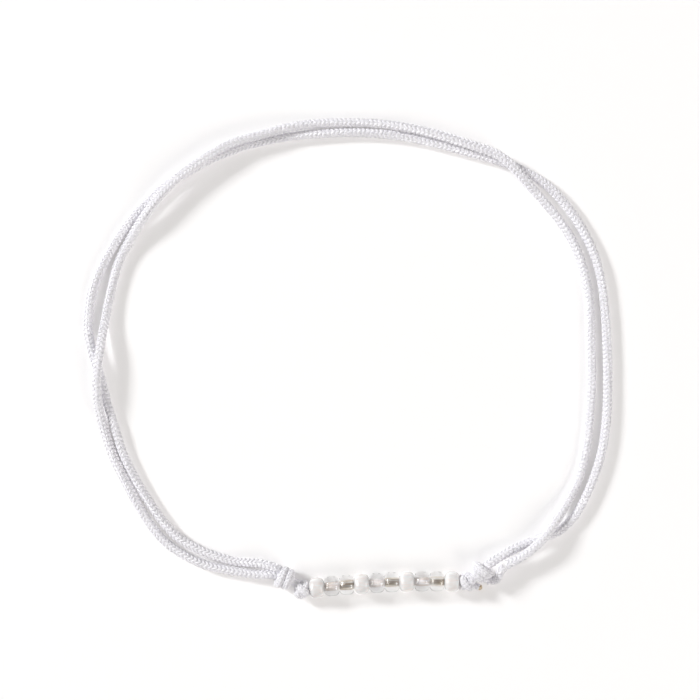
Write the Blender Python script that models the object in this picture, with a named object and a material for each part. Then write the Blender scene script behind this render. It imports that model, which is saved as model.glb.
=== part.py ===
# Beaded bracelet: a doubled knitted cord with ten glass seed beads, lying flat.
# Metres, +Z up. The origin is on the surface that it lies on, under the middle of the loop.
import math

import bmesh
import bpy
from mathutils import Matrix, Vector

MM = 0.001

# The cord and the room that touching pieces keep
CORD_DIAMETER = 0.9 * MM
CORD_GAP = 0.1 * MM
CORD_POINT_SPACING = 2.3 * MM
CORD_BEVEL_RESOLUTION = 2
ROUTE_FINE_STEPS = 24

# The seed beads
BEAD_DIAMETER = 2.1 * MM
BEAD_LENGTH = 1.48 * MM
BEAD_HOLE_DIAMETER = 0.86 * MM
BEAD_EDGE_RADIUS = 0.36 * MM
BEAD_HOLE_EDGE_RADIUS = 0.1 * MM
BEAD_GAP = 0.095 * MM
BEAD_SIDES = 16
BEAD_KINDS = ("white", "clear", "silver") * 3 + ("white",)

# The row of beads lies along a flat arc, whose top is to the right of the row's middle
BEAD_ROW_RADIUS = 120.0 * MM
BEAD_ROW_TOP = (9.2 * MM, -23.4 * MM)
BEAD_ROW_MIDDLE = -5.4 * MM
THREAD_DIAMETER = 0.62 * MM

# The small knots at the ends of the row
STOPPER_LENGTH = 1.56 * MM
STOPPER_DIAMETER = 1.9 * MM
STOPPER_RIBS = 3
STOPPER_RIB_DEPTH = 0.14
STOPPER_RIB_SLANT = 190
STOPPER_GAP = 0.1 * MM

# The sliding knots: each is a short coil of one cord's end round the other strand
WRAP_DIAMETER = 0.7 * MM
WRAP_PITCH = 0.78 * MM
WRAP_POINTS_PER_TURN = 14
SLIDING_KNOTS = {
    "left": {"offset": (-2.16 * MM, 1.28 * MM), "heading": 165, "turns": 2.0, "start": 165, "hand": 1},
    "right": {"offset": (1.43 * MM, 1.12 * MM), "heading": 42, "turns": 1.5, "start": 235, "hand": -1},
}

# The cut end below the right sliding knot, placed from that knot's middle
TAIL_LENGTH = 0.95 * MM
TAIL_DIAMETER = 0.78 * MM
TAIL_MELT_RADIUS = 0.23 * MM
TAIL_OFFSET = (-0.1 * MM, -1.75 * MM)
TAIL_HEADING = -20

# Routes of the strands round the loop, left to right over the top, in millimetres: x, y and lift,
# where a lift of 0 lies on the surface and a lift of 1 lies on top of the other strand
ROUTE_OVER = (
    (-9.4, -22.7, 0.45), (-12.2, -22.3, 0.2), (-15.0, -21.7, 0.15), (-17.5, -20.5, 0.2), (-19.6, -18.9, 0.15),
    (-21.5, -16.4, 0.0), (-23.0, -13.6, 0.0), (-24.6, -10.4, 0.0), (-25.6, -7.4, 0.2), (-26.2, -4.4, 0.8),
    (-26.2, -1.5, 1.0), (-25.9, 1.2, 0.8), (-25.5, 3.9, 0.2), (-24.9, 7.0, 0.0), (-24.1, 10.0, 0.0),
    (-22.8, 12.5, 0.2), (-21.1, 15.1, 0.8), (-19.2, 17.5, 1.0), (-17.1, 19.4, 1.0), (-14.7, 21.1, 1.0),
    (-12.2, 22.5, 0.9), (-9.0, 23.4, 0.8), (-6.0, 24.2, 0.6), (-2.9, 24.6, 0.3), (0.2, 24.7, 0.2),
    (3.4, 24.6, 0.2), (6.5, 24.1, 0.5), (9.7, 23.3, 0.8), (12.5, 22.4, 0.95), (15.1, 21.5, 1.0),
    (16.7, 20.5, 1.0), (18.4, 18.7, 0.8), (20.2, 16.8, 0.2), (22.2, 14.5, 0.0), (23.8, 11.9, 0.0),
    (24.8, 9.0, 0.0), (25.4, 5.8, 0.0), (25.5, 1.9, 0.0), (25.6, -1.8, 0.0), (25.5, -4.9, 0.0),
    (25.2, -8.4, 0.0), (24.5, -11.8, 0.0), (23.4, -14.4, 0.1), (21.8, -17.0, 0.7), (20.2, -19.1, 1.0),
    (18.3, -20.7, 0.9), (16.5, -21.7, 0.8),
)
ROUTE_UNDER = (
    (-8.1, -21.75, 0.85), (-9.4, -21.5, 0.4), (-11.6, -21.4, 0.0), (-13.6, -20.9, 0.0), (-15.7, -20.1, 0.0),
    (-17.9, -18.8, 0.0), (-19.5, -17.1, 0.0), (-21.1, -14.8, 0.0), (-22.4, -12.6, 0.0), (-23.7, -9.9, 0.0),
    (-24.4, -7.6, 0.0), (-25.3, -4.7, 0.0), (-25.9, -2.3, 0.0), (-26.7, 0.2, 0.0), (-27.3, 2.9, 0.0),
    (-27.1, 5.6, 0.0), (-26.6, 7.8, 0.0), (-25.5, 10.2, 0.0), (-24.0, 12.7, 0.0), (-22.2, 15.1, 0.0),
    (-20.2, 17.2, 0.0), (-18.5, 18.6, 0.0), (-16.6, 19.7, 0.0), (-14.7, 20.8, 0.0), (-13.0, 21.5, 0.0),
    (-10.8, 22.3, 0.0), (-8.2, 22.9, 0.0), (-5.0, 23.4, 0.0), (-2.4, 23.6, 0.0), (0.2, 23.7, 0.0),
    (2.8, 23.6, 0.0), (5.7, 23.3, 0.0), (8.6, 22.7, 0.0), (11.6, 21.9, 0.0), (14.4, 21.1, 0.0),
    (16.8, 20.4, 0.0), (18.7, 19.5, 0.0), (20.7, 18.3, 0.0), (22.8, 16.2, 0.0), (24.4, 13.9, 0.0),
    (25.7, 11.3, 0.0), (26.5, 8.7, 0.0), (26.9, 5.8, 0.0), (27.2, 1.9, 0.0), (27.3, -2.3, 0.0),
    (27.2, -6.0, 0.0), (26.7, -9.7, 0.0), (25.7, -12.9, 0.0), (24.2, -16.0, 0.0), (22.3, -18.1, 0.0),
    (20.2, -18.9, 0.0), (18.3, -19.7, 0.0), (16.5, -20.5, 0.4),
)
# The tight turn of the over strand's end, down and under beside the right knot
ROUTE_TURN = (
    (16.35, -21.85, 0.85), (15.9, -22.3, 0.85), (15.8, -22.8, 0.6), (15.6, -23.2, 0.2), (15.15, -23.4, 0.0),
    (14.9, -23.3, 0.0),
)

# Flat sides face down, so a cord's middle lies this far above the surface
CORD_SIDES = 4 + 2 * CORD_BEVEL_RESOLUTION
CORD_REST_HEIGHT = CORD_DIAMETER / 2 * math.cos(math.pi / CORD_SIDES)
BEAD_REST_HEIGHT = BEAD_DIAMETER / 2 * math.cos(math.pi / BEAD_SIDES)
WRAP_COIL_RADIUS = CORD_DIAMETER / 2 + CORD_GAP + WRAP_DIAMETER / 2
KNOT_HEIGHT = WRAP_COIL_RADIUS + WRAP_DIAMETER / 2


def clear_scene():
    for old in list(bpy.data.objects):
        bpy.data.objects.remove(old)


def material(name, colour, roughness, metallic=0.0):
    made = bpy.data.materials.new(name)
    made.use_nodes = True
    shader = made.node_tree.nodes["Principled BSDF"]
    shader.inputs["Base Color"].default_value = (*colour, 1.0)
    shader.inputs["Roughness"].default_value = roughness
    shader.inputs["Metallic"].default_value = metallic
    return made


def add_object(name, data, finish, root):
    data.materials.append(finish)
    made = bpy.data.objects.new(name, data)
    bpy.context.scene.collection.objects.link(made)
    made.parent = root
    return made


# Points of a smooth curve through the route, by even steps along it
def read_route(route, spacing):
    ends = [route[0] * 2 - route[1], *route, route[-1] * 2 - route[-2]]
    fine = []
    for before, start, end, after in zip(ends, ends[1:], ends[2:], ends[3:]):
        for step in range(ROUTE_FINE_STEPS):
            t = step / ROUTE_FINE_STEPS
            bend = before * (-t + 2 * t**2 - t**3) + start * (2 - 5 * t**2 + 3 * t**3)
            bend += end * (t + 4 * t**2 - 3 * t**3) + after * (t**3 - t**2)
            fine.append(bend / 2)
            fine[-1].z = max(fine[-1].z, CORD_REST_HEIGHT)
    fine.append(route[-1].copy())
    total = sum((b - a).length for a, b in zip(fine, fine[1:]))
    count = max(2, round(total / spacing))
    points = [fine[0]]
    walked = 0.0
    for a, b in zip(fine, fine[1:]):
        walked += (b - a).length
        if walked >= total * len(points) / count and len(points) < count:
            points.append(b)
    points.append(fine[-1])
    return points


def route_points(route):
    lift = CORD_DIAMETER + CORD_GAP
    return [Vector((x * MM, y * MM, CORD_REST_HEIGHT + share * lift)) for x, y, share in route]


# A tube along the points; lying tubes are turned so that a flat side faces down
def tube(name, points, diameter, finish, root, lying=True):
    curve = bpy.data.curves.new(name, "CURVE")
    curve.dimensions = "3D"
    curve.twist_mode = "Z_UP" if lying else "MINIMUM"
    curve.bevel_depth = diameter / 2
    curve.bevel_resolution = CORD_BEVEL_RESOLUTION
    curve.use_fill_caps = True
    spline = curve.splines.new("POLY")
    spline.points.add(len(points) - 1)
    for slot, point in zip(spline.points, points):
        slot.co = (*point, 1.0)
        slot.tilt = math.pi / CORD_SIDES if lying else 0.0
    return add_object(name, curve, finish, root)


# Place and heading at a distance along the arc of the bead row, measured from the row's middle
def row_place(distance):
    angle = (distance + BEAD_ROW_MIDDLE) / BEAD_ROW_RADIUS
    x = BEAD_ROW_TOP[0] + BEAD_ROW_RADIUS * math.sin(angle)
    y = BEAD_ROW_TOP[1] - BEAD_ROW_RADIUS * (1 - math.cos(angle))
    return Vector((x, y, BEAD_REST_HEIGHT)), -angle


def row_half_length():
    return (len(BEAD_KINDS) * (BEAD_LENGTH + BEAD_GAP) - BEAD_GAP) / 2


def stopper_place(side):
    distance = row_half_length() + STOPPER_GAP + STOPPER_LENGTH / 2
    return row_place(-distance if side == "left" else distance)


# Middle and axis of a sliding knot; the axis points away from the beads
def knot_place(side):
    row = SLIDING_KNOTS[side]
    middle = stopper_place(side)[0] + Vector((*row["offset"], 0))
    middle.z = KNOT_HEIGHT
    heading = math.radians(row["heading"])
    return middle, Vector((math.cos(heading), math.sin(heading), 0))


def coil_span(side):
    return SLIDING_KNOTS[side]["turns"] * WRAP_PITCH


def knot_length(side):
    return coil_span(side) + WRAP_DIAMETER


# The strand inside a sliding knot, from the stopper knot out to the loop
def core_points(side):
    middle, axis = knot_place(side)
    inner_reach = axis * coil_span(side) / 2
    outer_reach = axis * (knot_length(side) / 2 + CORD_GAP)
    stopper = stopper_place(side)[0]
    seat = (middle - outer_reach - stopper).normalized() * (STOPPER_DIAMETER / 2 + STOPPER_GAP)
    return [stopper + seat, middle - inner_reach, middle + outer_reach]


# A closed outline, spun round its own X axis into a turned solid
def turned(name, outline, sides):
    mesh = bpy.data.meshes.new(name)
    shape = bmesh.new()
    corners = [shape.verts.new((along, 0, radius)) for along, radius in outline]
    edges = [shape.edges.new(pair) for pair in zip(corners, corners[1:])]
    if outline[0][1] > 0:
        edges.append(shape.edges.new((corners[-1], corners[0])))
    bmesh.ops.rotate(shape, verts=corners, matrix=Matrix.Rotation(math.pi / sides, 3, "X"))
    bmesh.ops.spin(shape, geom=corners + edges, axis=(1, 0, 0), angle=2 * math.pi, steps=sides)
    bmesh.ops.remove_doubles(shape, verts=shape.verts, dist=1e-7)
    bmesh.ops.recalc_face_normals(shape, faces=shape.faces)
    shape.to_mesh(mesh)
    shape.free()
    mesh.shade_smooth()
    mesh.set_sharp_from_angle(angle=math.radians(50))
    return mesh


def corner(middle_along, middle_radius, radius, start, end, steps):
    turns = [math.radians(start + (end - start) * step / steps) for step in range(steps + 1)]
    return [(middle_along + radius * math.cos(a), middle_radius + radius * math.sin(a)) for a in turns]


def bead_mesh():
    half = BEAD_LENGTH / 2
    outer = BEAD_DIAMETER / 2 - BEAD_EDGE_RADIUS
    inner = BEAD_HOLE_DIAMETER / 2 + BEAD_HOLE_EDGE_RADIUS
    side = half - BEAD_EDGE_RADIUS
    lip = half - BEAD_HOLE_EDGE_RADIUS
    outline = corner(side, outer, BEAD_EDGE_RADIUS, 0, 90, 3)
    outline += corner(-side, outer, BEAD_EDGE_RADIUS, 90, 180, 3)
    outline += corner(-lip, inner, BEAD_HOLE_EDGE_RADIUS, 180, 270, 1)
    outline += corner(lip, inner, BEAD_HOLE_EDGE_RADIUS, 270, 360, 1)
    return turned("bead", outline, BEAD_SIDES)


def add_beads(finishes, root):
    shared = {}
    for kind in finishes:
        shared[kind] = bead_mesh()
        shared[kind].materials.append(finishes[kind])
    pitch = BEAD_LENGTH + BEAD_GAP
    first = -(len(BEAD_KINDS) - 1) / 2 * pitch
    for index, kind in enumerate(BEAD_KINDS):
        place, heading = row_place(first + index * pitch)
        bead = bpy.data.objects.new(f"bead_{index + 1:02d}", shared[kind])
        bpy.context.scene.collection.objects.link(bead)
        bead.location = place
        bead.rotation_euler.z = heading
        bead.parent = root


def add_thread(finish, root):
    reach = row_half_length()
    count = len(BEAD_KINDS) + 1
    points = [row_place(-reach + 2 * reach * step / count)[0] for step in range(count + 1)]
    tube("bead_thread", points, THREAD_DIAMETER, finish, root)


# A small knot: an egg with slanting ribs where the cord's turns lie
def stopper_mesh(side):
    slant = math.radians(STOPPER_RIB_SLANT) * SLIDING_KNOTS[side]["hand"]
    mesh = bpy.data.meshes.new(f"stopper_{side}")
    shape = bmesh.new()
    bmesh.ops.create_uvsphere(shape, u_segments=20, v_segments=12, radius=1.0)
    for corner_point in shape.verts:
        across = math.hypot(corner_point.co.x, corner_point.co.y)
        turn = math.atan2(corner_point.co.y, corner_point.co.x)
        groove = 0.5 + 0.5 * math.cos(STOPPER_RIBS * turn + slant * corner_point.co.z)
        rib = 1 - STOPPER_RIB_DEPTH * across * groove
        along = corner_point.co.z * STOPPER_LENGTH / 2
        sideways = corner_point.co.x * rib * STOPPER_DIAMETER / 2
        upward = corner_point.co.y * rib * STOPPER_DIAMETER / 2
        corner_point.co = (along, sideways, upward)
    shape.to_mesh(mesh)
    shape.free()
    mesh.shade_smooth()
    return mesh


def add_stoppers(finish, root):
    for side in SLIDING_KNOTS:
        knot = add_object(f"stopper_knot_{side}", stopper_mesh(side), finish, root)
        knot.location, knot.rotation_euler.z = stopper_place(side)


# The wraps of a sliding knot: a coil round the strand that passes through it
def coil_points(side):
    row = SLIDING_KNOTS[side]
    middle, axis = knot_place(side)
    across = Vector((-axis.y, axis.x, 0))
    up = Vector((0, 0, 1))
    steps = round(row["turns"] * WRAP_POINTS_PER_TURN)
    points = []
    for step in range(steps + 1):
        share = step / steps
        turn = math.radians(row["start"] + row["hand"] * 360 * row["turns"] * share)
        along = axis * (0.5 - share) * coil_span(side)
        ring = (across * math.cos(turn) + up * math.sin(turn)) * WRAP_COIL_RADIUS
        points.append(middle + along + ring)
    return points


def add_sliding_knots(finish, root):
    for side in SLIDING_KNOTS:
        tube(f"sliding_knot_{side}", coil_points(side), WRAP_DIAMETER, finish, root, lying=False)


# The strands, each threaded through one sliding knot and ending at the other
def add_strands(finish, root):
    left_core = core_points("left")
    over = left_core + route_points(ROUTE_OVER)
    tube("cord_over", read_route(over, CORD_POINT_SPACING), CORD_DIAMETER, finish, root)
    turn = read_route(route_points(ROUTE_TURN), CORD_DIAMETER / 2)
    tube("cord_turn_right", turn, CORD_DIAMETER, finish, root)
    right_core = core_points("right")
    under = route_points(ROUTE_UNDER) + right_core[::-1]
    tube("cord_under", read_route(under, CORD_POINT_SPACING), CORD_DIAMETER, finish, root)


def add_tail(finish, root):
    half = TAIL_LENGTH / 2
    radius = TAIL_DIAMETER / 2
    outline = [(-half, 0.0), (-half, radius)]
    outline += corner(half - TAIL_MELT_RADIUS, radius - TAIL_MELT_RADIUS, TAIL_MELT_RADIUS, 90, 0, 3)
    outline.append((half, 0.0))
    tail = add_object("cord_tail_right", turned("cord_tail", outline, CORD_SIDES), finish, root)
    middle = knot_place("right")[0] + Vector((*TAIL_OFFSET, 0))
    tail.location = (middle.x, middle.y, radius * math.cos(math.pi / CORD_SIDES))
    tail.rotation_euler.z = math.radians(TAIL_HEADING)


def build():
    clear_scene()
    root = bpy.data.objects.new("beaded_bracelet", None)
    bpy.context.scene.collection.objects.link(root)
    cord = material("white knitted cord", (0.82, 0.81, 0.86), 0.75)
    beads = {
        "white": material("white pearl glass", (0.86, 0.84, 0.83), 0.2),
        "clear": material("clear lustre glass", (0.7, 0.72, 0.74), 0.05),
        "silver": material("silver lined glass", (0.42, 0.36, 0.28), 0.1, 0.6),
    }
    burnt = material("melted amber cord end", (0.62, 0.5, 0.34), 0.4)
    add_strands(cord, root)
    add_beads(beads, root)
    add_thread(cord, root)
    add_stoppers(cord, root)
    add_sliding_knots(cord, root)
    add_tail(burnt, root)


build()
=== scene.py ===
import math
import bmesh
import bpy
from mathutils import Matrix, Vector


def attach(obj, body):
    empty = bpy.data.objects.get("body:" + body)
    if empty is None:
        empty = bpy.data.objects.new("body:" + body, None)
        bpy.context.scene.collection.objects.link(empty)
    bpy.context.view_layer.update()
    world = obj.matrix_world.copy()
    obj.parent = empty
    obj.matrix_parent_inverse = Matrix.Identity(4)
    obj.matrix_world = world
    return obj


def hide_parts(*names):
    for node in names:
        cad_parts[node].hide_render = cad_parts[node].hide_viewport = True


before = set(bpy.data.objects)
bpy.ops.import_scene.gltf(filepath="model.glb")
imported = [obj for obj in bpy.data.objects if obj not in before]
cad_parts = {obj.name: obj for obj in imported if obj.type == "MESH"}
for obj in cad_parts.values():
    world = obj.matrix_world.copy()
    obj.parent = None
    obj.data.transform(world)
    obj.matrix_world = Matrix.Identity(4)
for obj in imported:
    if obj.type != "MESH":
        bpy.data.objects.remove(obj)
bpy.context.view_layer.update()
scene = bpy.context.scene
scene.view_settings.view_transform = "Standard"
mm = 0.001
mergeDistance = 0.0001 * mm
print("frame loaded")

# Camera: straight down on the loop, as it was photographed. Sizes are in millimetres.
cameraSetup = {
    "lens": 85.0,
    "sensor": 36.0,
    "viewWidth": 73.5,
    "middle": (0.21, 0.84),
    "focusHeight": 0.6,
    "clipStart": 10.0,
}


def placeCamera():
    setup = cameraSetup
    lens = bpy.data.cameras.new("camera")
    lens.lens = setup["lens"]
    lens.sensor_width = setup["sensor"]
    lens.clip_start = setup["clipStart"] * mm
    away = setup["viewWidth"] * setup["lens"] / setup["sensor"] + setup["focusHeight"]
    made = bpy.data.objects.new("camera", lens)
    made.location = (setup["middle"][0] * mm, setup["middle"][1] * mm, away * mm)
    scene.collection.objects.link(made)
    scene.camera = made


placeCamera()
print("camera placed")


def addNode(tree, kind, inputs=None, **settings):
    made = tree.nodes.new(kind)
    for name, value in settings.items():
        setattr(made, name, value)
    for socket, value in (inputs or {}).items():
        if isinstance(value, bpy.types.NodeSocket):
            tree.links.new(value, made.inputs[socket])
        else:
            made.inputs[socket].default_value = value
    return made


def newFinish(name, plain):
    finish = bpy.data.materials.new(name)
    finish.use_nodes = True
    tree = finish.node_tree
    shader = tree.nodes["Principled BSDF"]
    for socket, value in plain.items():
        shader.inputs[socket].default_value = value
    return finish, tree, shader


def newGroup(name, inputs, outputs):
    group = bpy.data.node_groups.new(name, "ShaderNodeTree")
    for socket, kind in inputs.items():
        group.interface.new_socket(socket, in_out="INPUT", socket_type=kind)
    for socket, kind in outputs.items():
        group.interface.new_socket(socket, in_out="OUTPUT", socket_type=kind)
    return group, group.nodes.new("NodeGroupInput"), group.nodes.new("NodeGroupOutput")


def mixColours(tree, share, first, second):
    made = addNode(tree, "ShaderNodeMix", {"Factor": share}, data_type="RGBA")
    for socket, value in ((made.inputs[6], first), (made.inputs[7], second)):
        if isinstance(value, bpy.types.NodeSocket):
            tree.links.new(value, socket)
        else:
            socket.default_value = value
    return made.outputs[2]


# A value turned into a share from 0 to 1
def shareOf(tree, value, lowest, highest):
    made = addNode(tree, "ShaderNodeMapRange", {"Value": value, "From Min": lowest, "From Max": highest})
    return made.outputs["Result"]


# A share turned into a value between two limits
def valueAt(tree, share, lowest, highest):
    made = addNode(tree, "ShaderNodeMapRange", {"Value": share, "To Min": lowest, "To Max": highest})
    return made.outputs["Result"]


def addRelief(tree, height, strength, depth):
    made = addNode(tree, "ShaderNodeBump", {"Height": height, "Strength": strength, "Distance": depth})
    return made.outputs["Normal"]


mottleLimits = (0.35, 0.65)  # the noise between these is spread from 0 to 1


# Slow cloudy mottling by place on the object, shared by the cord and the glass
def mottleGroup():
    group, given, put = newGroup(
        "mottle",
        {"Size": "NodeSocketFloat", "Stretch": "NodeSocketVector", "Detail": "NodeSocketFloat"},
        {"Mask": "NodeSocketFloat"},
    )
    place = addNode(group, "ShaderNodeTexCoord")
    spread = addNode(group, "ShaderNodeVectorMath", {0: place.outputs["Object"]}, operation="MULTIPLY")
    group.links.new(given.outputs["Stretch"], spread.inputs[1])
    cloud = addNode(group, "ShaderNodeTexNoise", {"Vector": spread.outputs[0]})
    group.links.new(given.outputs["Size"], cloud.inputs["Scale"])
    group.links.new(given.outputs["Detail"], cloud.inputs["Detail"])
    group.links.new(shareOf(group, cloud.outputs["Fac"], *mottleLimits), put.inputs["Mask"])
    return group


mottle = mottleGroup()


def addMottle(tree, size, stretch=(1.0, 1.0, 1.0), detail=2.0):
    made = addNode(tree, "ShaderNodeGroup", node_tree=mottle)
    made.inputs["Size"].default_value = size
    made.inputs["Stretch"].default_value = stretch
    made.inputs["Detail"].default_value = detail
    return made.outputs["Mask"]


# Each stitch has its own cell of the "stitch" map: a random tone for it, and the fine filaments
# along it
def stitchGroup():
    group, given, put = newGroup(
        "stitch tone",
        {"Filaments": "NodeSocketFloat"},
        {"Tone": "NodeSocketFloat", "Filament": "NodeSocketFloat"},
    )
    chart = addNode(group, "ShaderNodeUVMap", uv_map="stitch")
    cell = addNode(group, "ShaderNodeVectorMath", {0: chart.outputs["UV"]}, operation="FLOOR")
    tone = addNode(group, "ShaderNodeTexWhiteNoise", {"Vector": cell.outputs[0]}, noise_dimensions="2D")
    inside = addNode(group, "ShaderNodeVectorMath", {0: chart.outputs["UV"]}, operation="FRACTION")
    parts = addNode(group, "ShaderNodeSeparateXYZ", {0: inside.outputs[0]})
    turns = addNode(group, "ShaderNodeMath", {0: parts.outputs["X"]}, operation="MULTIPLY")
    group.links.new(given.outputs["Filaments"], turns.inputs[1])
    wave = addNode(group, "ShaderNodeMath", {0: turns.outputs[0], 1: 2 * math.pi}, operation="MULTIPLY")
    ridge = addNode(group, "ShaderNodeMath", {0: wave.outputs[0]}, operation="SINE")
    group.links.new(tone.outputs["Value"], put.inputs["Tone"])
    group.links.new(ridge.outputs[0], put.inputs["Filament"])
    return group


stitchTone = stitchGroup()
nylonLook = {
    "light": (0.965, 0.955, 0.985, 1.0),
    "dull": (0.94, 0.928, 0.975, 1.0),
    "grey": (0.93, 0.92, 0.95, 1.0),
    "greyShare": 0.3,
    "patches": 160.0,
    "roughness": (0.32, 0.5),
    "filaments": 5.0,
    "filamentStrength": 0.5,
    "filamentDepth": 0.02 * mm,
}


def nylonFinish():
    look = nylonLook
    plain = {
        "Sheen Weight": 0.32, "Sheen Roughness": 0.4, "IOR": 1.5, "Specular IOR Level": 0.35,
        "Subsurface Weight": 0.1, "Subsurface Scale": 0.4 * mm, "Subsurface Radius": (1.0, 0.95, 1.0),
    }
    finish, tree, shader = newFinish("knitted white nylon", plain)
    stitch = addNode(tree, "ShaderNodeGroup", node_tree=stitchTone)
    stitch.inputs["Filaments"].default_value = look["filaments"]
    own = mixColours(tree, stitch.outputs["Tone"], look["dull"], look["light"])
    cloud = addMottle(tree, look["patches"])
    patch = addNode(tree, "ShaderNodeMath", {0: cloud, 1: look["greyShare"]}, operation="MULTIPLY")
    colour = mixColours(tree, patch.outputs[0], own, look["grey"])
    tree.links.new(colour, shader.inputs["Base Color"])
    tree.links.new(valueAt(tree, stitch.outputs["Tone"], *look["roughness"]), shader.inputs["Roughness"])
    relief = addRelief(tree, stitch.outputs["Filament"], look["filamentStrength"], look["filamentDepth"])
    tree.links.new(relief, shader.inputs["Normal"])
    return finish


# The yarn under the stitches is coloured a little darker than the stitches: painted shade for the gaps
# between them. Its two tones are spread in random patches.
coreLook = {
    "shaded": (0.90, 0.885, 0.94, 1.0),
    "lit": (0.95, 0.94, 0.98, 1.0),
    "mottles": 2500.0,
    "roughness": 0.8,
}


def cordCoreFinish():
    finish, tree, shader = newFinish("shaded yarn under the stitches", {"Roughness": coreLook["roughness"]})
    colour = mixColours(tree, addMottle(tree, coreLook["mottles"]), coreLook["shaded"], coreLook["lit"])
    tree.links.new(colour, shader.inputs["Base Color"])
    return finish


nylon = nylonFinish()
cordCore = cordCoreFinish()
print("cord finishes made")


def addPiece(name, mesh, finishes, replaced=()):
    for finish in finishes:
        mesh.materials.append(finish)
    made = bpy.data.objects.new(name, mesh)
    scene.collection.objects.link(made)
    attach(made, "root")
    if replaced:
        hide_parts(*replaced)
    return made


def meshOf(made):
    bpy.context.view_layer.update()
    shown = made.evaluated_get(bpy.context.evaluated_depsgraph_get())
    return bpy.data.meshes.new_from_object(shown)


def lengthOf(points):
    return sum((b - a).length for a, b in zip(points, points[1:]))


# The row of beads lies along a flat arc
row = {
    "kinds": ("white", "clear", "silver") * 3 + ("white",),
    "length": 1.48 * mm,  # with the gap, each bead's share of the row
    "gap": 0.095 * mm,
    "height": 1.04 * mm,
    "arcRadius": 120.0 * mm,
    "arcTop": (9.2 * mm, -23.4 * mm),
    "arcMiddle": -5.4 * mm,
}


def rowPlace(distance):
    angle = (distance + row["arcMiddle"]) / row["arcRadius"]
    x = row["arcTop"][0] + row["arcRadius"] * math.sin(angle)
    y = row["arcTop"][1] - row["arcRadius"] * (1 - math.cos(angle))
    return Vector((x, y, row["height"])), -angle


def rowHalfLength():
    return (len(row["kinds"]) * (row["length"] + row["gap"]) - row["gap"]) / 2


# Sliding knots: places, and the coil of each
slidingKnots = {
    "left": {"offset": (-2.0, 1.28), "heading": 165, "turns": 2.1, "start": 135, "hand": 1},
    "right": {"offset": (1.43, 1.12), "heading": 42, "turns": 1.5, "start": 235, "hand": -1},
}
knotSizes = {
    "wrapDiameter": 0.92 * mm,
    "tightness": 0.72,
    "wrapPitch": 0.72 * mm,
    "coilRadius": 0.77 * mm,
    "height": 1.23 * mm,
    "pointsPerTurn": 24,
    "leadInSpacing": 0.15 * mm,
    "beyondCoil": 0.45 * mm,
    "stopperLength": 1.56 * mm,
    "stopperGap": 0.04 * mm,
    "stopperSeat": 0.75 * mm,
}


def stopperPlace(side):
    distance = rowHalfLength() + knotSizes["stopperGap"] + knotSizes["stopperLength"] / 2
    return rowPlace(-distance if side == "left" else distance)


def knotPlace(side):
    knot = slidingKnots[side]
    middle = stopperPlace(side)[0] + Vector((knot["offset"][0], knot["offset"][1], 0)) * mm
    middle.z = knotSizes["height"]
    heading = math.radians(knot["heading"])
    return middle, Vector((math.cos(heading), math.sin(heading), 0))


def coilSpan(side):
    return slidingKnots[side]["turns"] * knotSizes["wrapPitch"]


# The strand's way from its stopper knot through the coil of the sliding knot
def corePoints(side):
    middle, axis = knotPlace(side)
    outer = axis * (coilSpan(side) / 2 + knotSizes["beyondCoil"])
    tied = stopperPlace(side)[0]
    seat = (middle - outer - tied).normalized() * knotSizes["stopperSeat"]
    return [tied + seat, middle - axis * coilSpan(side) / 2, middle + outer]


# The strands' routes, the same points as in the CAD: x, y and lift, in millimetres.
# A lift of 0 lies on the table and a lift of 1 lies on the other strand.
strand = {
    "diameter": 0.98 * mm,
    "height": 0.485 * mm,
    "lift": 1.0 * mm,
    "spacing": 0.7 * mm,
    "fineSteps": 24,
    "turnDiameter": 0.92 * mm,
    "turnSpacing": 0.25 * mm,
}
routeOver = (
    (-9.4, -22.7, 0.45), (-12.2, -22.3, 0.2), (-15.0, -21.7, 0.15), (-17.5, -20.5, 0.2), (-19.6, -18.9, 0.15),
    (-21.5, -16.4, 0.0), (-23.0, -13.6, 0.0), (-24.6, -10.4, 0.0), (-25.6, -7.4, 0.2), (-26.2, -4.4, 0.8),
    (-26.2, -1.5, 1.0), (-25.9, 1.2, 0.8), (-25.5, 3.9, 0.2), (-24.9, 7.0, 0.0), (-24.1, 10.0, 0.0),
    (-22.8, 12.5, 0.2), (-21.1, 15.1, 0.8), (-19.2, 17.5, 1.0), (-17.1, 19.4, 1.0), (-14.7, 21.1, 1.0),
    (-12.2, 22.5, 0.9), (-9.0, 23.4, 0.8), (-6.0, 24.2, 0.6), (-2.9, 24.6, 0.3), (0.2, 24.7, 0.2),
    (3.4, 24.6, 0.2), (6.5, 24.1, 0.5), (9.7, 23.3, 0.8), (12.5, 22.4, 0.95), (15.1, 21.5, 1.0),
    (16.7, 20.5, 1.0), (18.4, 18.7, 0.8), (20.2, 16.8, 0.2), (22.2, 14.5, 0.0), (23.8, 11.9, 0.0),
    (24.8, 9.0, 0.0), (25.4, 5.8, 0.0), (25.5, 1.9, 0.0), (25.6, -1.8, 0.0), (25.5, -4.9, 0.0),
    (25.2, -8.4, 0.0), (24.5, -11.8, 0.0), (23.4, -14.4, 0.1), (21.8, -17.0, 0.7), (20.2, -19.1, 1.0),
    (18.3, -20.7, 0.9), (16.5, -21.7, 0.8),
)
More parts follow.
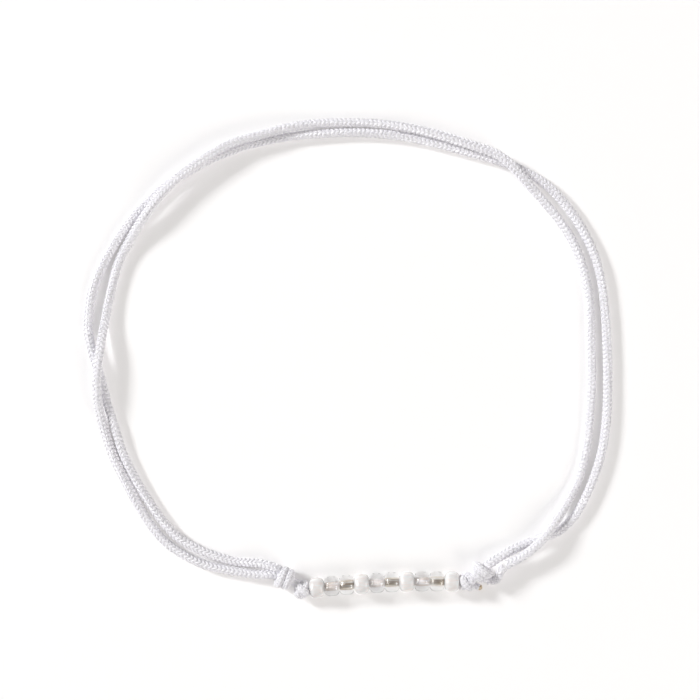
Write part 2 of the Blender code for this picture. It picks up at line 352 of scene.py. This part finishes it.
routeUnder = (
    (-8.1, -21.75, 0.85), (-9.4, -21.5, 0.4), (-11.6, -21.4, 0.0), (-13.6, -20.9, 0.0), (-15.7, -20.1, 0.0),
    (-17.9, -18.8, 0.0), (-19.5, -17.1, 0.0), (-21.1, -14.8, 0.0), (-22.4, -12.6, 0.0), (-23.7, -9.9, 0.0),
    (-24.4, -7.6, 0.0), (-25.3, -4.7, 0.0), (-25.9, -2.3, 0.0), (-26.7, 0.2, 0.0), (-27.3, 2.9, 0.0),
    (-27.1, 5.6, 0.0), (-26.6, 7.8, 0.0), (-25.5, 10.2, 0.0), (-24.0, 12.7, 0.0), (-22.2, 15.1, 0.0),
    (-20.2, 17.2, 0.0), (-18.5, 18.6, 0.0), (-16.6, 19.7, 0.0), (-14.7, 20.8, 0.0), (-13.0, 21.5, 0.0),
    (-10.8, 22.3, 0.0), (-8.2, 22.9, 0.0), (-5.0, 23.4, 0.0), (-2.4, 23.6, 0.0), (0.2, 23.7, 0.0),
    (2.8, 23.6, 0.0), (5.7, 23.3, 0.0), (8.6, 22.7, 0.0), (11.6, 21.9, 0.0), (14.4, 21.1, 0.0),
    (16.8, 20.4, 0.0), (18.7, 19.5, 0.0), (20.7, 18.3, 0.0), (22.8, 16.2, 0.0), (24.4, 13.9, 0.0),
    (25.7, 11.3, 0.0), (26.5, 8.7, 0.0), (26.9, 5.8, 0.0), (27.2, 1.9, 0.0), (27.3, -2.3, 0.0),
    (27.2, -6.0, 0.0), (26.7, -9.7, 0.0), (25.7, -12.9, 0.0), (24.2, -16.0, 0.0), (22.3, -18.1, 0.0),
    (20.2, -18.9, 0.0), (18.3, -19.7, 0.0), (16.5, -20.5, 0.4),
)
routeTurn = (
    (16.35, -21.85, 0.85), (15.9, -22.3, 0.85), (15.8, -22.8, 0.6), (15.6, -23.2, 0.2), (15.15, -23.4, 0.0),
    (14.9, -23.3, 0.0), (14.5, -23.45, 0.0),
)


def liftedPoints(route):
    return [Vector((x * mm, y * mm, strand["height"] + share * strand["lift"])) for x, y, share in route]


# Even steps along a smooth curve through the points, never lower than the strand lies
def smoothRoute(route, spacing, lowest=0.0):
    ends = [route[0] * 2 - route[1], *route, route[-1] * 2 - route[-2]]
    fine = []
    for before, start, end, after in zip(ends, ends[1:], ends[2:], ends[3:]):
        for step in range(strand["fineSteps"]):
            t = step / strand["fineSteps"]
            bend = before * (-t + 2 * t**2 - t**3) + start * (2 - 5 * t**2 + 3 * t**3)
            bend += end * (t + 4 * t**2 - 3 * t**3) + after * (t**3 - t**2)
            fine.append(bend / 2)
            fine[-1].z = max(fine[-1].z, lowest)
    fine.append(route[-1].copy())
    total = lengthOf(fine)
    count = max(2, round(total / spacing))
    points = [fine[0]]
    walked = 0.0
    for a, b in zip(fine, fine[1:]):
        walked += (b - a).length
        if walked >= total * len(points) / count and len(points) < count:
            points.append(b)
    points.append(fine[-1])
    return points


# Knitting: one course of slanted stitch legs round the cord, repeated along a guide
knit = {
    "pitch": 0.47 * mm,  # one course along a cord of full size
    "fullSize": 1.0 * mm,
    "columns": 8,
    "legLength": 0.66,  # the leg's sizes as shares of the cord's diameter
    "legWidth": 0.33,
    "legThickness": 0.185,
    "slant": 32,
    "lean": 10,
    "coreShare": 0.885,
    "coreResolution": 2,
    "legSides": 6,
    "legRings": 5,
    "mapMargin": 0.02,
    "drift": 0.12,  # turns that the columns make along each drift length
    "driftLength": 10 * mm,
}


def stitchCourse(diameter, pitch, tightness):
    course = bmesh.new()
    chart = course.loops.layers.uv.new("stitch")
    thick = knit["legThickness"] * diameter
    wide = knit["legWidth"] * diameter
    long = knit["legLength"] * diameter * tightness
    size = Matrix.Diagonal((thick / 2, wide / 2, long / 2, 1))
    lying = Matrix.Rotation(math.pi / 2, 4, "Y")
    lean = Matrix.Rotation(math.radians(knit["lean"]), 4, "Y")
    margin = knit["mapMargin"]
    room = 1 - 2 * margin
    for column in range(knit["columns"]):
        side = 1 if column % 2 else -1
        slant = Matrix.Rotation(side * math.radians(knit["slant"]), 4, "Z")
        out = Matrix.Translation((pitch / 2, 0, (diameter - thick) / 2))
        about = Matrix.Rotation(2 * math.pi * column / knit["columns"], 4, "X")
        leg = bmesh.ops.create_uvsphere(
            course, u_segments=knit["legSides"], v_segments=knit["legRings"], radius=1.0, calc_uvs=True
        )["verts"]
        bmesh.ops.transform(course, verts=leg, matrix=about @ out @ slant @ lean @ lying @ size)
        for face in {face for corner in leg for face in corner.link_faces}:
            for loop in face.loops:
                inside = loop[chart].uv
                loop[chart].uv = (margin + room * inside.x % 1.0, column + margin + room * inside.y)
    bmesh.ops.recalc_face_normals(course, faces=course.faces)
    mesh = bpy.data.meshes.new("stitch course")
    course.to_mesh(mesh)
    course.free()
    mesh.shade_smooth()
    return mesh


def guideCurve(name, points, twistMode, drift):
    curve = bpy.data.curves.new(name, "CURVE")
    curve.dimensions = "3D"
    curve.twist_mode = twistMode
    spline = curve.splines.new("POLY")
    spline.points.add(len(points) - 1)
    walked = 0.0
    last = points[0]
    for slot, point in zip(spline.points, points):
        walked += (point - last).length
        last = point
        slot.co = (*point, 1.0)
        slot.tilt = 2 * math.pi * drift * walked / knit["driftLength"]
    made = bpy.data.objects.new(name, curve)
    scene.collection.objects.link(made)
    return made


def knitAlong(name, points, diameter, replaced=(), twistMode="Z_UP", drift=0.0, tightness=1.0):
    length = lengthOf(points)
    count = round(length / (knit["pitch"] * tightness * diameter / knit["fullSize"]))
    pitch = length / count
    guide = guideCurve(name + "_guide", points, twistMode, drift)
    sample = bpy.data.objects.new(name + "_course", stitchCourse(diameter, pitch, tightness))
    scene.collection.objects.link(sample)
    courses = sample.modifiers.new("courses", "ARRAY")
    courses.fit_type = "FIXED_COUNT"
    courses.count = count
    courses.use_relative_offset = False
    courses.use_constant_offset = True
    courses.constant_offset_displace = (pitch, 0, 0)
    courses.offset_u = 1.0
    follow = sample.modifiers.new("follow", "CURVE")
    follow.object = guide
    follow.deform_axis = "POS_X"
    stitches = meshOf(sample)
    guide.data.bevel_depth = diameter * knit["coreShare"] / 2
    guide.data.bevel_resolution = knit["coreResolution"]
    guide.data.use_fill_caps = True
    core = meshOf(guide)
    joined = bmesh.new()
    joined.from_mesh(stitches)
    stitchFaces = len(joined.faces)
    stitchCorners = len(joined.verts)
    joined.from_mesh(core)
    for index, face in enumerate(joined.faces):
        face.smooth = True
        face.material_index = 0 if index < stitchFaces else 1
    tube = list(joined.verts)[stitchCorners:]
    bmesh.ops.remove_doubles(joined, verts=tube, dist=mergeDistance)  # closes the core's caps
    mesh = bpy.data.meshes.new(name)
    joined.to_mesh(mesh)
    joined.free()
    bpy.data.objects.remove(sample)
    bpy.data.objects.remove(guide)
    return addPiece(name, mesh, (nylon, cordCore), replaced)


def addStrands():
    over = smoothRoute(corePoints("left") + liftedPoints(routeOver), strand["spacing"], strand["height"])
    under = liftedPoints(routeUnder) + corePoints("right")[::-1]
    under = smoothRoute(under, strand["spacing"], strand["height"])
    turn = smoothRoute(liftedPoints(routeTurn), strand["turnSpacing"], strand["height"])
    for name, points, node, drift in (
        ("knit_cord_over", over, "cord_over", knit["drift"]),
        ("knit_cord_under", under, "cord_under", -knit["drift"]),
    ):
        piece = knitAlong(name, points, strand["diameter"], (node,), drift=drift)
    knitAlong("knit_turn_right", turn, strand["turnDiameter"], ("cord_turn_right",))


addStrands()
print("strands knitted")


# A sliding knot's wraps: the other strand's end coiled round this one
def coilPoints(side):
    knot = slidingKnots[side]
    middle, axis = knotPlace(side)
    across = Vector((-axis.y, axis.x, 0))
    up = Vector((0, 0, 1))
    steps = round(knot["turns"] * knotSizes["pointsPerTurn"])
    points = []
    for step in range(steps + 1):
        share = step / steps
        turn = math.radians(knot["start"] + knot["hand"] * 360 * knot["turns"] * share)
        along = axis * (0.5 - share) * coilSpan(side)
        ring = (across * math.cos(turn) + up * math.sin(turn)) * knotSizes["coilRadius"]
        points.append(middle + along + ring)
    return points


# The left knot's wraps start from the end of the strand that they are made of
def wrapRoute(side):
    coil = coilPoints(side)
    if side == "right":
        return coil
    leadIn = liftedPoints(routeUnder)[1::-1]
    return smoothRoute(leadIn + coil[2::3], knotSizes["leadInSpacing"])


def addSlidingKnots():
    for side in slidingKnots:
        knitAlong(
            f"knit_wraps_{side}", wrapRoute(side), knotSizes["wrapDiameter"],
            (f"sliding_knot_{side}",), twistMode="MINIMUM", tightness=knotSizes["tightness"],
        )


# A stopper knot: the cord passes twice round and through itself, pulled tight
stopper = {
    "ringRadius": 0.46 * mm,
    "weave": 0.16 * mm,
    "reach": 0.45 * mm,
    "cordDiameter": 0.88 * mm,
    "rounds": 2,
    "lobes": 3,
    "points": 72,
    "phase": {"left": 200, "right": 120},
}


def stopperPoints(side):
    place, heading = stopperPlace(side)
    turnRow = Matrix.Rotation(heading, 4, "Z")
    points = []
    for step in range(stopper["points"] + 1):
        t = 2 * math.pi * step / stopper["points"]
        out = stopper["ringRadius"] + stopper["weave"] * math.cos(stopper["lobes"] * t)
        along = stopper["reach"] * math.sin(stopper["lobes"] * t)
        turn = stopper["rounds"] * t + math.radians(stopper["phase"][side])
        points.append(place + turnRow @ Vector((along, out * math.cos(turn), out * math.sin(turn))))
    return points


def addStoppers():
    for side in slidingKnots:
        knitAlong(
            f"knit_stopper_{side}", stopperPoints(side), stopper["cordDiameter"],
            (f"stopper_knot_{side}",), twistMode="MINIMUM", tightness=knotSizes["tightness"],
        )


addSlidingKnots()
addStoppers()
print("knots tied")

# The cut end below the right sliding knot, melted to a small amber bead
tail = {
    "length": 0.6 * mm,
    "diameter": 0.63 * mm,
    "spacing": 0.1 * mm,
    "cordEnd": 0.6,  # this and the melt's middle are shares of the outer half
    "meltMiddle": 0.95,
    "meltSize": (0.2295 * mm, 0.297 * mm, 0.27 * mm),
    "sideLump": 0.08,
    "topLump": 0.06,
    "offset": (-0.27, -1.69),
    "heading": -20,
    "height": 0.42 * mm,
}
meltLook = {
    "pale": (0.74, 0.63, 0.45, 1.0),
    "dark": (0.52, 0.39, 0.24, 1.0),
    "mottles": {"colour": 3500.0, "gloss": 6000.0, "relief": 9000.0},
    "roughness": (0.2, 0.4),
    "reliefStrength": 0.5,
    "reliefDepth": 0.04 * mm,
}


def meltedFinish():
    finish, tree, shader = newFinish("melted nylon", {"Coat Weight": 0.5, "Coat Roughness": 0.1})
    cloud = addMottle(tree, meltLook["mottles"]["colour"], detail=3.0)
    tree.links.new(mixColours(tree, cloud, meltLook["dark"], meltLook["pale"]), shader.inputs["Base Color"])
    gloss = valueAt(tree, addMottle(tree, meltLook["mottles"]["gloss"]), *meltLook["roughness"])
    tree.links.new(gloss, shader.inputs["Roughness"])
    pits = addMottle(tree, meltLook["mottles"]["relief"])
    relief = addRelief(tree, pits, meltLook["reliefStrength"], meltLook["reliefDepth"])
    tree.links.new(relief, shader.inputs["Normal"])
    return finish


def addTail():
    middle = knotPlace("right")[0]
    heading = math.radians(tail["heading"])
    axis = Vector((math.cos(heading), math.sin(heading), 0))
    start = middle + Vector((tail["offset"][0], tail["offset"][1], 0)) * mm
    start.z = tail["height"]
    half = axis * tail["length"] / 2
    stub = smoothRoute([start - half, start, start + half * tail["cordEnd"]], tail["spacing"])
    knitAlong("knit_tail_right", stub, tail["diameter"])
    blob = bmesh.new()
    bmesh.ops.create_icosphere(blob, subdivisions=3, radius=1.0)
    for corner in blob.verts:
        side = tail["sideLump"] * math.sin(5 * corner.co.y + 1.3)
        top = tail["topLump"] * math.sin(7 * corner.co.z)
        corner.co *= 1 + side + top
    bmesh.ops.scale(blob, verts=blob.verts, vec=tail["meltSize"])
    bmesh.ops.rotate(blob, verts=blob.verts, matrix=Matrix.Rotation(heading, 3, "Z"))
    bmesh.ops.translate(blob, verts=blob.verts, vec=start + half * tail["meltMiddle"])
    mesh = bpy.data.meshes.new("melted end")
    blob.to_mesh(mesh)
    blob.free()
    mesh.shade_smooth()
    addPiece("melted_end_right", mesh, (meltedFinish(),), ("cord_tail_right",))


addTail()
print("tail made")

# Beads: a rounded barrel with a hole along it
bead = {
    "length": 1.555 * mm,
    "radius": 1.05 * mm,
    "shoulderRadius": 1.0 * mm,
    "holeRadius": {"white": 0.43 * mm, "clear": 0.29 * mm, "silver": 0.34 * mm},
    "rimRound": 0.5 * mm,
    "rimSegments": 7,
    "holeRound": 0.1 * mm,
    "holeSegments": 3,
    "steps": 48,
}
lining = {"fromEnd": 0.12 * mm, "intoGlass": 0.01 * mm, "wall": 0.03 * mm, "steps": 32}
thread = {"diameter": 0.48 * mm, "beyondRow": 0.3 * mm, "steps": 40}
pearlLook = {
    "milk": (0.90, 0.89, 0.88, 1.0),
    "blush": (0.87, 0.775, 0.735, 1.0),
    "streaks": (900.0, 5200.0, 2600.0),
    "roughness": (0.12, 0.22),
}
glassLook = {
    "body": (1.0, 1.0, 1.0, 1.0),
    "tinted": (0.97, 0.98, 0.985, 1.0),
    "streaks": (700.0, 2600.0, 2600.0),
    "roughness": (0.0, 0.03),
    "lampsThrough": (0.7, 0.7, 0.7, 1.0),
}
holeLook = {
    "mauve": (0.95, 0.925, 0.94, 1.0),
    "tan": (0.70, 0.60, 0.53, 1.0),
    "streaks": (700.0, 9000.0, 9000.0),
    "roughness": 0.6,
}
liningLook = {
    "silver": (0.97, 0.965, 0.95, 1.0),
    "gold": (0.56, 0.45, 0.33, 1.0),
    "streaks": (450.0, 9000.0, 9000.0),
    "roughness": (0.06, 0.2),
    "reliefStrength": 0.4,
    "reliefDepth": 0.04 * mm,
}


def onRim(corner, along, radius):
    reach = 0.001 * mm
    return abs(abs(corner.co.x) - along) < reach and abs(corner.co.yz.length - radius) < reach


def turnedShell(outline, rounds, steps):
    shell = bmesh.new()
    corners = [shell.verts.new((along, 0, radius)) for along, radius in outline]
    edges = [shell.edges.new((corners[i - 1], corners[i])) for i in range(len(corners))]
    bmesh.ops.spin(
        shell, geom=corners + edges, axis=(1, 0, 0), angle=2 * math.pi, steps=steps, use_merge=True
    )
    bmesh.ops.remove_doubles(shell, verts=shell.verts, dist=mergeDistance)
    bmesh.ops.recalc_face_normals(shell, faces=shell.faces)
    for along, radius, size, segments in rounds:
        rim = [edge for edge in shell.edges if all(onRim(corner, along, radius) for corner in edge.verts)]
        bmesh.ops.bevel(
            shell, geom=rim, offset=size, segments=segments, affect="EDGES", profile=0.5, material=-1
        )
    return shell


def beadShell(kind):
    half = bead["length"] / 2
    hole = bead["holeRadius"][kind]
    shoulder = bead["shoulderRadius"]
    outline = ((-half, hole), (-half, shoulder), (0.0, bead["radius"]), (half, shoulder), (half, hole))
    rounds = (
        (half, shoulder, bead["rimRound"], bead["rimSegments"]),
        (half, hole, bead["holeRound"], bead["holeSegments"]),
    )
    return turnedShell(outline, rounds, bead["steps"])


# The thin tube in the hole of a clear or silver-lined bead
def liningShell(kind):
    half = bead["length"] / 2 - lining["fromEnd"]
    outer = bead["holeRadius"][kind] + lining["intoGlass"]
    inner = outer - lining["wall"]
    outline = ((-half, inner), (-half, outer), (half, outer), (half, inner))
    return turnedShell(outline, (), lining["steps"])


def placeOnRow(shell, name, place, heading):
    seat = Matrix.Translation(place) @ Matrix.Rotation(heading, 4, "Z")
    bmesh.ops.transform(shell, verts=shell.verts, matrix=seat)
    mesh = bpy.data.meshes.new(name)
    shell.to_mesh(mesh)
    shell.free()
    mesh.shade_smooth()
    return mesh


def pearlFinish():
    plain = {
        "Coat Weight": 0.7, "Coat Roughness": 0.1, "IOR": 1.5, "Specular IOR Level": 0.3,
        "Subsurface Weight": 1.0, "Subsurface Scale": 1.4 * mm, "Subsurface Radius": (1.0, 0.97, 0.95),
    }
    finish, tree, shader = newFinish("white pearl glass", plain)
    streak = addMottle(tree, 1.0, pearlLook["streaks"])
    colour = mixColours(tree, streak, pearlLook["milk"], pearlLook["blush"])
    tree.links.new(colour, shader.inputs["Base Color"])
    tree.links.new(valueAt(tree, streak, *pearlLook["roughness"]), shader.inputs["Roughness"])
    return finish


# Part of a lamp's light goes straight through the glass, so that what lies behind it is lit
def glassFinish():
    finish, tree, shader = newFinish("clear glass", {"Transmission Weight": 1.0, "IOR": 1.5})
    cloud = addMottle(tree, 1.0, glassLook["streaks"], detail=1.0)
    colour = mixColours(tree, cloud, glassLook["body"], glassLook["tinted"])
    tree.links.new(colour, shader.inputs["Base Color"])
    tree.links.new(valueAt(tree, cloud, *glassLook["roughness"]), shader.inputs["Roughness"])
    through = addNode(tree, "ShaderNodeBsdfTransparent", {"Color": glassLook["lampsThrough"]})
    toLamp = addNode(tree, "ShaderNodeLightPath").outputs["Is Shadow Ray"]
    lit = addNode(tree, "ShaderNodeMixShader", {0: toLamp, 1: shader.outputs[0], 2: through.outputs[0]})
    tree.links.new(lit.outputs[0], tree.nodes["Material Output"].inputs["Surface"])
    return finish


def liningFinish():
    finish, tree, shader = newFinish("silver lining", {"Metallic": 1.0})
    streak = addMottle(tree, 1.0, liningLook["streaks"], detail=3.0)
    colour = mixColours(tree, streak, liningLook["silver"], liningLook["gold"])
    tree.links.new(colour, shader.inputs["Base Color"])
    tree.links.new(valueAt(tree, streak, *liningLook["roughness"]), shader.inputs["Roughness"])
    relief = addRelief(tree, streak, liningLook["reliefStrength"], liningLook["reliefDepth"])
    tree.links.new(relief, shader.inputs["Normal"])
    return finish


# The rough wall of a clear bead's hole, with the cord showing through it
def holeFinish():
    plain = {"Roughness": holeLook["roughness"], "Specular IOR Level": 0.0}
    finish, tree, shader = newFinish("rough glass hole", plain)
    streak = addMottle(tree, 1.0, holeLook["streaks"])
    colour = mixColours(tree, streak, holeLook["mauve"], holeLook["tan"])
    tree.links.new(colour, shader.inputs["Base Color"])
    return finish


def addBeads():
    finishes = {"white": pearlFinish(), "clear": glassFinish()}
    finishes["silver"] = finishes["clear"]
    linings = {"silver": liningFinish(), "clear": holeFinish()}
    pitch = row["length"] + row["gap"]
    first = -(len(row["kinds"]) - 1) / 2 * pitch
    for index, kind in enumerate(row["kinds"]):
        place, heading = rowPlace(first + index * pitch)
        label = f"{index + 1:02d}"
        mesh = placeOnRow(beadShell(kind), "bead " + label, place, heading)
        addPiece("glass_bead_" + label, mesh, (finishes[kind],), ("bead_" + label,))
        if kind in linings:
            tube = placeOnRow(liningShell(kind), "lining " + label, place, heading)
            addPiece("bead_lining_" + label, tube, (linings[kind],))


def addThread():
    reach = rowHalfLength() + thread["beyondRow"]
    steps = thread["steps"]
    points = [rowPlace(-reach + 2 * reach * step / steps)[0] for step in range(steps + 1)]
    knitAlong("knit_bead_thread", points, thread["diameter"], ("bead_thread",))


addBeads()
addThread()
print("beads threaded")

# Table and light
lightSetup = {
    "key": {
        "towards": (-1.7, 0.9, 1.0), "away": 1.2, "size": 0.2, "power": 11.5, "colour": (0.985, 0.99, 1.0),
    },
    "fill": {
        "towards": (1.2, -1.0, 1.1), "away": 0.9, "size": 0.5, "power": 3.4, "colour": (1.0, 0.96, 0.93),
    },
    "left card": {
        "towards": (-1.0, 0.1, 0.75), "away": 1.2, "size": 0.8, "power": 17.0, "colour": (1.0, 0.985, 0.96),
    },
    "right card": {
        "towards": (1.0, -0.25, 0.75), "away": 1.2, "size": 0.7, "power": 13.0, "colour": (0.94, 0.97, 1.0),
    },
}
skyLook = {
    "side": (0.43, 0.425, 0.425, 1.0),
    "overhead": (0.31, 0.305, 0.30, 1.0),
    "fromHeight": 0.5,
    "toHeight": 0.75,
}
tableLook = {
    "white": (0.9, 0.9, 0.9, 1.0),
    "roughness": 0.7,
    "glow": (1.0, 0.96, 0.94, 1.0),
    "glowStrength": 0.165,
    "halfSize": 4.0,
}


def addLights():
    middle = Vector((0, 0, 0))
    for name, lamp in lightSetup.items():
        light = bpy.data.lights.new(name + " light", "AREA")
        light.shape = "SQUARE"
        light.size = lamp["size"]
        light.energy = lamp["power"]
        light.color = lamp["colour"]
        made = bpy.data.objects.new(name + " light", light)
        made.visible_diffuse = "card" not in name  # a card is there for the beads to mirror
        made.visible_glossy = name != "fill"
        made.visible_transmission = name == "key"  # the only lamp that shows through the glass
        made.location = middle + Vector(lamp["towards"]).normalized() * lamp["away"]
        made.rotation_mode = "QUATERNION"
        made.rotation_quaternion = (middle - made.location).to_track_quat("-Z", "Y")
        scene.collection.objects.link(made)


def addSky():
    world = bpy.data.worlds.new("studio")
    scene.world = world
    world.use_nodes = True
    tree = world.node_tree
    look = addNode(tree, "ShaderNodeTexCoord")
    parts = addNode(tree, "ShaderNodeSeparateXYZ", {0: look.outputs["Generated"]})
    up = shareOf(tree, parts.outputs["Z"], skyLook["fromHeight"], skyLook["toHeight"])
    colour = mixColours(tree, up, skyLook["side"], skyLook["overhead"])
    tree.links.new(colour, tree.nodes["Background"].inputs["Color"])


def addTable():
    board = bmesh.new()
    bmesh.ops.create_grid(board, x_segments=1, y_segments=1, size=tableLook["halfSize"])
    mesh = bpy.data.meshes.new("table")
    board.to_mesh(mesh)
    board.free()
    plain = {
        "Base Color": tableLook["white"], "Roughness": tableLook["roughness"], "Specular IOR Level": 0.1,
        "Emission Color": tableLook["glow"], "Emission Strength": tableLook["glowStrength"],
    }
    finish = newFinish("white table", plain)[0]
    mesh.materials.append(finish)
    made = bpy.data.objects.new("table", mesh)
    scene.collection.objects.link(made)


addLights()
addSky()
addTable()
print("table and lights placed")
